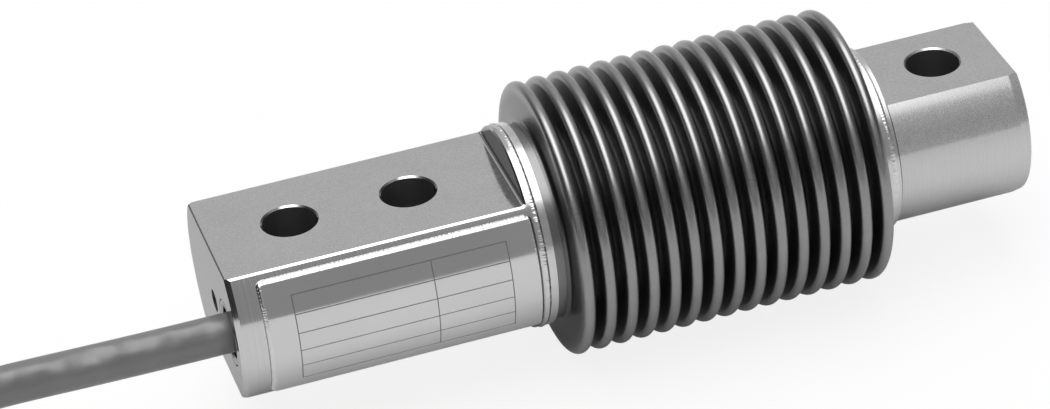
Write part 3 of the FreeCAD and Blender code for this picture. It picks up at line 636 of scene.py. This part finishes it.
lead_route = [
    from_cable_end(9.5, -8.5, -0.4),
    from_cable_end(-12, -8.5, -0.4),
    from_cable_end(-42, -8.5, 0.45),
    from_cable_end(-66, -14.6, 1.3),
    from_cable_end(-83, -18.95, 1.7),
]
tail_route = [
    from_cable_end(-91, -12.7, -10.7),
    from_cable_end(-102, -10.4, -11.0),
    from_cable_end(-113, -5.4, -13.6),
    from_cable_end(-123, -1.6, -17.2),
    from_cable_end(-133, -1.0, -18.0),
]
sheath = Finish("cable_sheath", (0.11, 0.11, 0.11), 0.45, metallic=0.0)
sheath.shade({"Specular IOR Level": 1.0})
sheath_waves = sheath.noise(190, 1)
sheath_grain = sheath.noise(2500, 3)
sheath.bump(sheath.maths("ADD", sheath_waves, sheath.maths("MULTIPLY", sheath_grain, 0.012)), 1.1 * MM)
sheath.tint(sheath_waves, 0.095, 0.125)
sheath.rough(sheath_grain, 0.36, 0.48)
cable_route = lead_route + hank_turns() + tail_route
cable_nodes = ("cable_lead", "cable_hank", "cable_end")
cable = tube("cable", cable_route, cable_diameter, sheath, "sheath", *cable_nodes, roundness=8)


# Bared cores: six insulated wires fanned out of the cut end of the sheath, each with a twisted strand.
# Their colours are the six wires of a bridge: two feeds, two senses and two signals.
core_diameter = 1.2 * MM
core_length = 16.0 * MM
core_ring = 1.75 * MM
core_spread = 2.2 * MM
core_gap = 0.3 * MM
core_sink = 1.0 * MM
core_reach = 0.96
# The two middle points of a core's route, as shares of its length and of its way to the side
core_forward = (0.25, 0.1)
core_landing = (0.6, 0.7)
strip_length = 4.0 * MM
strand_steps = 14
strand_wires = 6
strand_radius = 0.26 * MM
strand_root = 0.4 * MM
twist_pitch = 2.6 * MM
wire_radius = 0.14 * MM
wire_sides = 6
sheath_end = Vector(tail_route[-1])
core_floor = cad_low.z + core_diameter / 2
# Colour of each core, and its place round the cable in degrees, in the order of the fanned ends
cores = {
    "black": ((0.012, 0.012, 0.012), 150),
    "blue": ((0.02, 0.07, 0.38), 210),
    "white": ((0.72, 0.72, 0.70), 270),
    "red": ((0.50, 0.02, 0.015), 90),
    "green": ((0.02, 0.22, 0.06), 330),
    "grey": ((0.28, 0.28, 0.28), 30),
}
strand_ends = []


def toned(colour, factor):
    """The colour made darker or lighter by a factor."""
    return tuple(min(factor * part, 1) for part in colour)


for number, (colour, (tone, degrees)) in enumerate(cores.items()):
    insulation = Finish(f"core_insulation_{colour}", tone, 0.35, metallic=0.0)
    scuff = insulation.noise(900, 3)
    insulation.tint(scuff, toned(tone, 0.85), toned(tone, 1.15))
    insulation.rough(scuff, 0.28, 0.45)
    turn = math.radians(degrees)
    start = sheath_end + Vector((-core_gap, core_ring * math.cos(turn), core_ring * math.sin(turn)))
    fanned = core_spread * (number - (len(cores) - 1) / 2)
    end = start + Vector((-core_length * core_reach, fanned - start.y + sheath_end.y, 0))
    end.z = core_floor
    sideways = end.y - start.y
    inside = start + Vector((core_sink, 0, 0))
    forward = start + Vector((-core_length * core_forward[0], sideways * core_forward[1], 0))
    landing_x = start.x - core_length * core_landing[0]
    landing = Vector((landing_x, start.y + sideways * core_landing[1], core_floor))
    route = [inside, forward, landing, end]
    node = f"core_{colour}"
    tube(f"core_wire_{colour}", route, core_diameter, insulation, node, node, roundness=4)
    strand_ends.append((end, (end - landing).normalized()))


def strand(centre, way, place):
    """Rings of one thin wire, twisted round the middle of its strand."""
    side = way.cross(Vector((0, 0, 1))).normalized()
    rise = side.cross(way)
    rings = []
    for step in range(strand_steps + 1):
        run = strip_length * step / strand_steps - strand_root * (step == 0)
        turn = place + run / twist_pitch * 2 * math.pi
        middle = centre + way * run + (side * math.cos(turn) + rise * math.sin(turn)) * strand_radius
        ring = []
        for corner in range(wire_sides):
            lean = 2 * math.pi * corner / wire_sides
            ring.append(middle + (side * math.cos(lean) + rise * math.sin(lean)) * wire_radius)
        rings.append(ring)
    return rings


def gather(made, mesh):
    """A mesh goes into a larger one, and its own copy is removed."""
    made.from_mesh(mesh)
    bpy.data.meshes.remove(mesh)


def gathered(made, name):
    """The larger mesh, under its own name."""
    mesh = bpy.data.meshes.new(name)
    made.to_mesh(mesh)
    made.free()
    return mesh


copper = Finish("bare_copper", (0.72, 0.40, 0.22), 0.3)
copper_tone = copper.noise(1500, 2)
copper.tint(copper_tone, (0.62, 0.33, 0.18), (0.80, 0.47, 0.28))
copper.rough(copper_tone, 0.2, 0.4)
tips = bmesh.new()
for end, way in strand_ends:
    for number in range(strand_wires):
        gather(tips, skin("wire", strand(end, way, 2 * math.pi * number / strand_wires), False))
tips_mesh = gathered(tips, "strand_tips")
add_piece("strand_tips", tips_mesh, copper, "copper", "core_tips", sharp=60)


# Hank ties: two black nylon straps, one round each long side of the hank.
# Each has a toothed strap pulled through a square head, and its end is cut off short.
tie_width = 5.0 * MM
tie_thickness = 0.9 * MM
tie_gap = 0.1 * MM
tie_edge = 0.2 * MM
tooth_pitch = 0.5 * MM
loop_steps = 8
head_size = (7.4 * MM, 4.0 * MM, 6.6 * MM)
head_rise = 6.0 * MM
head_round = 0.7 * MM
stub_inset = 0.5 * MM
# Cut end of the strap, in millimetres up from the head's middle and away from the strap
stub_line = ((-4.6, 0.0), (3.0, 0.0), (5.0, 0.3), (6.5, 0.9))
nylon = Finish("tie_nylon", (0.02, 0.02, 0.02), 0.42, metallic=0.0)
teeth = nylon.maths("PINGPONG", nylon.z, tooth_pitch)
nylon_grain = nylon.noise(1200, 3)
nylon.bump(nylon.maths("ADD", nylon.maths("DIVIDE", teeth, tooth_pitch), nylon_grain), 0.08 * MM)
nylon.tint(nylon_grain, 0.014, 0.03)
nylon.rough(nylon_grain, 0.34, 0.5)


def strap_loop(side):
    """Middle line of a strap: a rounded rectangle round one side of the hank, with its outward turns."""
    out = tie_gap + tie_thickness / 2
    corner = turn_pitch / 2 + out
    half_width = turn_pitch + out
    half_height = (hank_high.z - hank_low.z) / 2 + out
    middle_y = hank_y + side * (inner_fold + turn_pitch / 2)
    middle_z = (hank_low.z + hank_high.z) / 2
    line = []
    for quarter, (sy, sz) in enumerate(QUADRANTS):
        for step in range(loop_steps + 1):
            turn = math.radians(90 * quarter + 90 * step / loop_steps)
            y = middle_y + sy * (half_width - corner) + corner * math.cos(turn)
            z = middle_z + sz * (half_height - corner) + corner * math.sin(turn)
            line.append((y, z, math.cos(turn), math.sin(turn)))
    return line, middle_y, middle_z


def strap_ring(x, y, z, out_y, out_z):
    """Section of the strap: a flat bar with broken edges."""
    half = tie_width / 2
    deep = tie_thickness / 2
    flat = half - tie_edge
    wall = deep - tie_edge
    section = [(half, wall), (flat, deep), (-flat, deep), (-half, wall),
               (-half, -wall), (-flat, -deep), (flat, -deep), (half, -wall)]
    return [(x + across, y + out_y * rise, z + out_z * rise) for across, rise in section]


def hank_tie(name, side, node):
    """One tie: its strap, its head towards the hank's middle, and the cut end above the head."""
    line, middle_y, middle_z = strap_loop(side)
    strap_x = (left_x + right_x) / 2
    made = bmesh.new()
    gather(made, skin("strap", [strap_ring(strap_x, *spot) for spot in line], True))
    head_y = middle_y - side * (turn_pitch + tie_gap + tie_thickness + head_size[1] / 2)
    head_z = middle_z + head_rise
    head = bmesh.ops.create_cube(made, size=1.0)["verts"]
    bmesh.ops.scale(made, vec=head_size, verts=head)
    bmesh.ops.translate(made, vec=(strap_x, head_y, head_z), verts=head)
    edges = {edge for vert in head for edge in vert.link_edges}
    bmesh.ops.bevel(made, geom=list(edges), offset=head_round, segments=3, affect="EDGES", profile=0.5)
    stub_y = head_y - side * stub_inset
    stub = [strap_ring(strap_x, stub_y - side * lean * MM, head_z + rise * MM, -side, 0.0)
            for rise, lean in stub_line]
    gather(made, skin("stub", stub, False))
    return add_piece(name, gathered(made, name), nylon, "tie_plastic", node, sharp=40)


hank_tie("tie_strap_front", -1, "hank_tie_front")
hank_tie("tie_strap_back", 1, "hank_tie_back")


# Sealed pieces: the gauges and their flex under the bellows, and the board, its resistors and the wires
# in the pocket behind the cover. Films are amber, the board is green, the resistors are dark ceramic.
gauges = ("gauge_top_1", "gauge_top_2", "gauge_bottom_1", "gauge_bottom_2")
inner_pieces = {
    "gauge_film": ((0.55, 0.28, 0.06), 0.3, gauges),
    "flex_film": ((0.62, 0.34, 0.08), 0.35, ("gauge_flex_top", "gauge_flex_bottom")),
    "board_laminate": ((0.03, 0.16, 0.07), 0.4, ("trim_board", "terminal_strip")),
    "chip_ceramic": ((0.05, 0.05, 0.055), 0.45, ("trim_resistors",)),
    "wire_enamel": ((0.60, 0.55, 0.48), 0.4, ("inner_cores", "bridge_leads")),
}
for name, (tone, roughness, nodes) in inner_pieces.items():
    inner = Finish(name, tone, roughness, metallic=0.0)
    mottle = inner.noise(1500, 3)
    inner.tint(mottle, toned(tone, 0.8), toned(tone, 1.1))
    inner.rough(mottle, roughness - 0.08, roughness + 0.08)
    inner.dress(*nodes)


# Studio: white paper under the object, a dim room in front that is darker to the sides, a paler wall
# behind, and a wide soft light above.
front_level = 0.38
back_level = 0.75
dark_level = 0.04
light_level = 4.2
# Where the room's sides pass from one level to the next, by direction
front_side = (-0.76, -0.6)
back_side = (-0.85, 0.1)
front_to_back = (-0.2, 0.2)
right_side = (0.6, 0.92)
# Soft edges of the light, as seen on a level plane above the object
light_left = (-0.85, -0.3)
light_right = (0.05, 0.5)
light_front = (-0.9, -0.65)
light_back = (0.45, 0.8)
horizon = 0.01
studio = bpy.data.worlds.new("studio")
bpy.context.scene.world = studio
studio.use_nodes = True
sky = Nodes(studio.node_tree)
sky_x, sky_y, sky_z = sky.split(sky.add("TexCoord").outputs["Generated"])
front = sky.ramp(sky_x, *front_side, low=dark_level, high=front_level)
back = sky.ramp(sky_x, *back_side, low=dark_level, high=back_level)
room = sky.blend(sky.ramp(sky_y, *front_to_back), front, back)
room = sky.blend(sky.ramp(sky_x, *right_side), room, dark_level)
high = sky.maths("MAXIMUM", sky_z, horizon)
over_x = sky.maths("DIVIDE", sky_x, high)
over_y = sky.maths("DIVIDE", sky_y, high)
in_light = sky.both(sky.ramp(over_x, *light_left), sky.ramp(over_x, *light_right, low=1.0, high=0.0))
in_light = sky.both(in_light, sky.ramp(over_y, *light_front))
in_light = sky.both(in_light, sky.ramp(over_y, *light_back, low=1.0, high=0.0))
sky_level = sky.blend(in_light, room, light_level)
sky.feed(sky.tree.nodes["Background"], {"Color": (1, 1, 1, 1), "Strength": sky_level})
floor_half = 4.0
floor_mesh = bpy.data.meshes.new("floor")
floor_corners = [(floor_half * x, floor_half * y, cad_low.z) for x, y in QUADRANTS]
floor_mesh.from_pydata(floor_corners, [], [(0, 1, 2, 3)])
# Share of plain white that the camera sees in the paper, and how much of it shows in gloss
white_share = 0.85
gloss_share = 0.1
paper = Finish("white_paper", (0.72, 0.72, 0.72), 0.9, metallic=0.0)
rays = paper.add("LightPath").outputs
in_gloss = paper.maths("MULTIPLY", rays["Is Glossy Ray"], gloss_share)
seen = paper.maths("MAXIMUM", rays["Is Camera Ray"], in_gloss)
seen = paper.maths("MAXIMUM", seen, rays["Is Transmission Ray"])
seen = paper.maths("MULTIPLY", seen, white_share)
white = paper.add("Emission", {"Color": (1, 1, 1, 1), "Strength": 1.0}).outputs[0]
paper_shaded = paper.add("MixShader", {0: seen, 1: paper.shader.outputs[0], 2: white}).outputs[0]
paper.feed(paper.tree.nodes["Material Output"], {"Surface": paper_shaded})
floor_mesh.materials.append(paper.material)
floor = bpy.data.objects.new("floor", floor_mesh)
bpy.context.scene.collection.objects.link(floor)


# Camera: a long lens above the object and to the left of its middle, about 0.6 m away.
# Its place and its slight roll were worked out from the bar's edges, its holes and the bellows.
camera_data = bpy.data.cameras.new("camera")
camera_data.sensor_width = 36.0
camera_data.lens = 142.35
camera = bpy.data.objects.new("camera", camera_data)
bpy.context.scene.collection.objects.link(camera)
camera_place = Vector((-0.100674, -0.506489, 0.345659))
aim = Vector((0.20553, 0.81844, -0.53658)).normalized()
roll_up = Vector((0.23638, 0.49053, 0.83875))
across = aim.cross(roll_up).normalized()
upwards = across.cross(aim)
turned_to = Matrix((across, upwards, -aim)).transposed()
camera.matrix_world = Matrix.Translation(camera_place) @ turned_to.to_4x4()
bpy.context.scene.camera = camera
bpy.context.scene.view_settings.view_transform = "Standard"
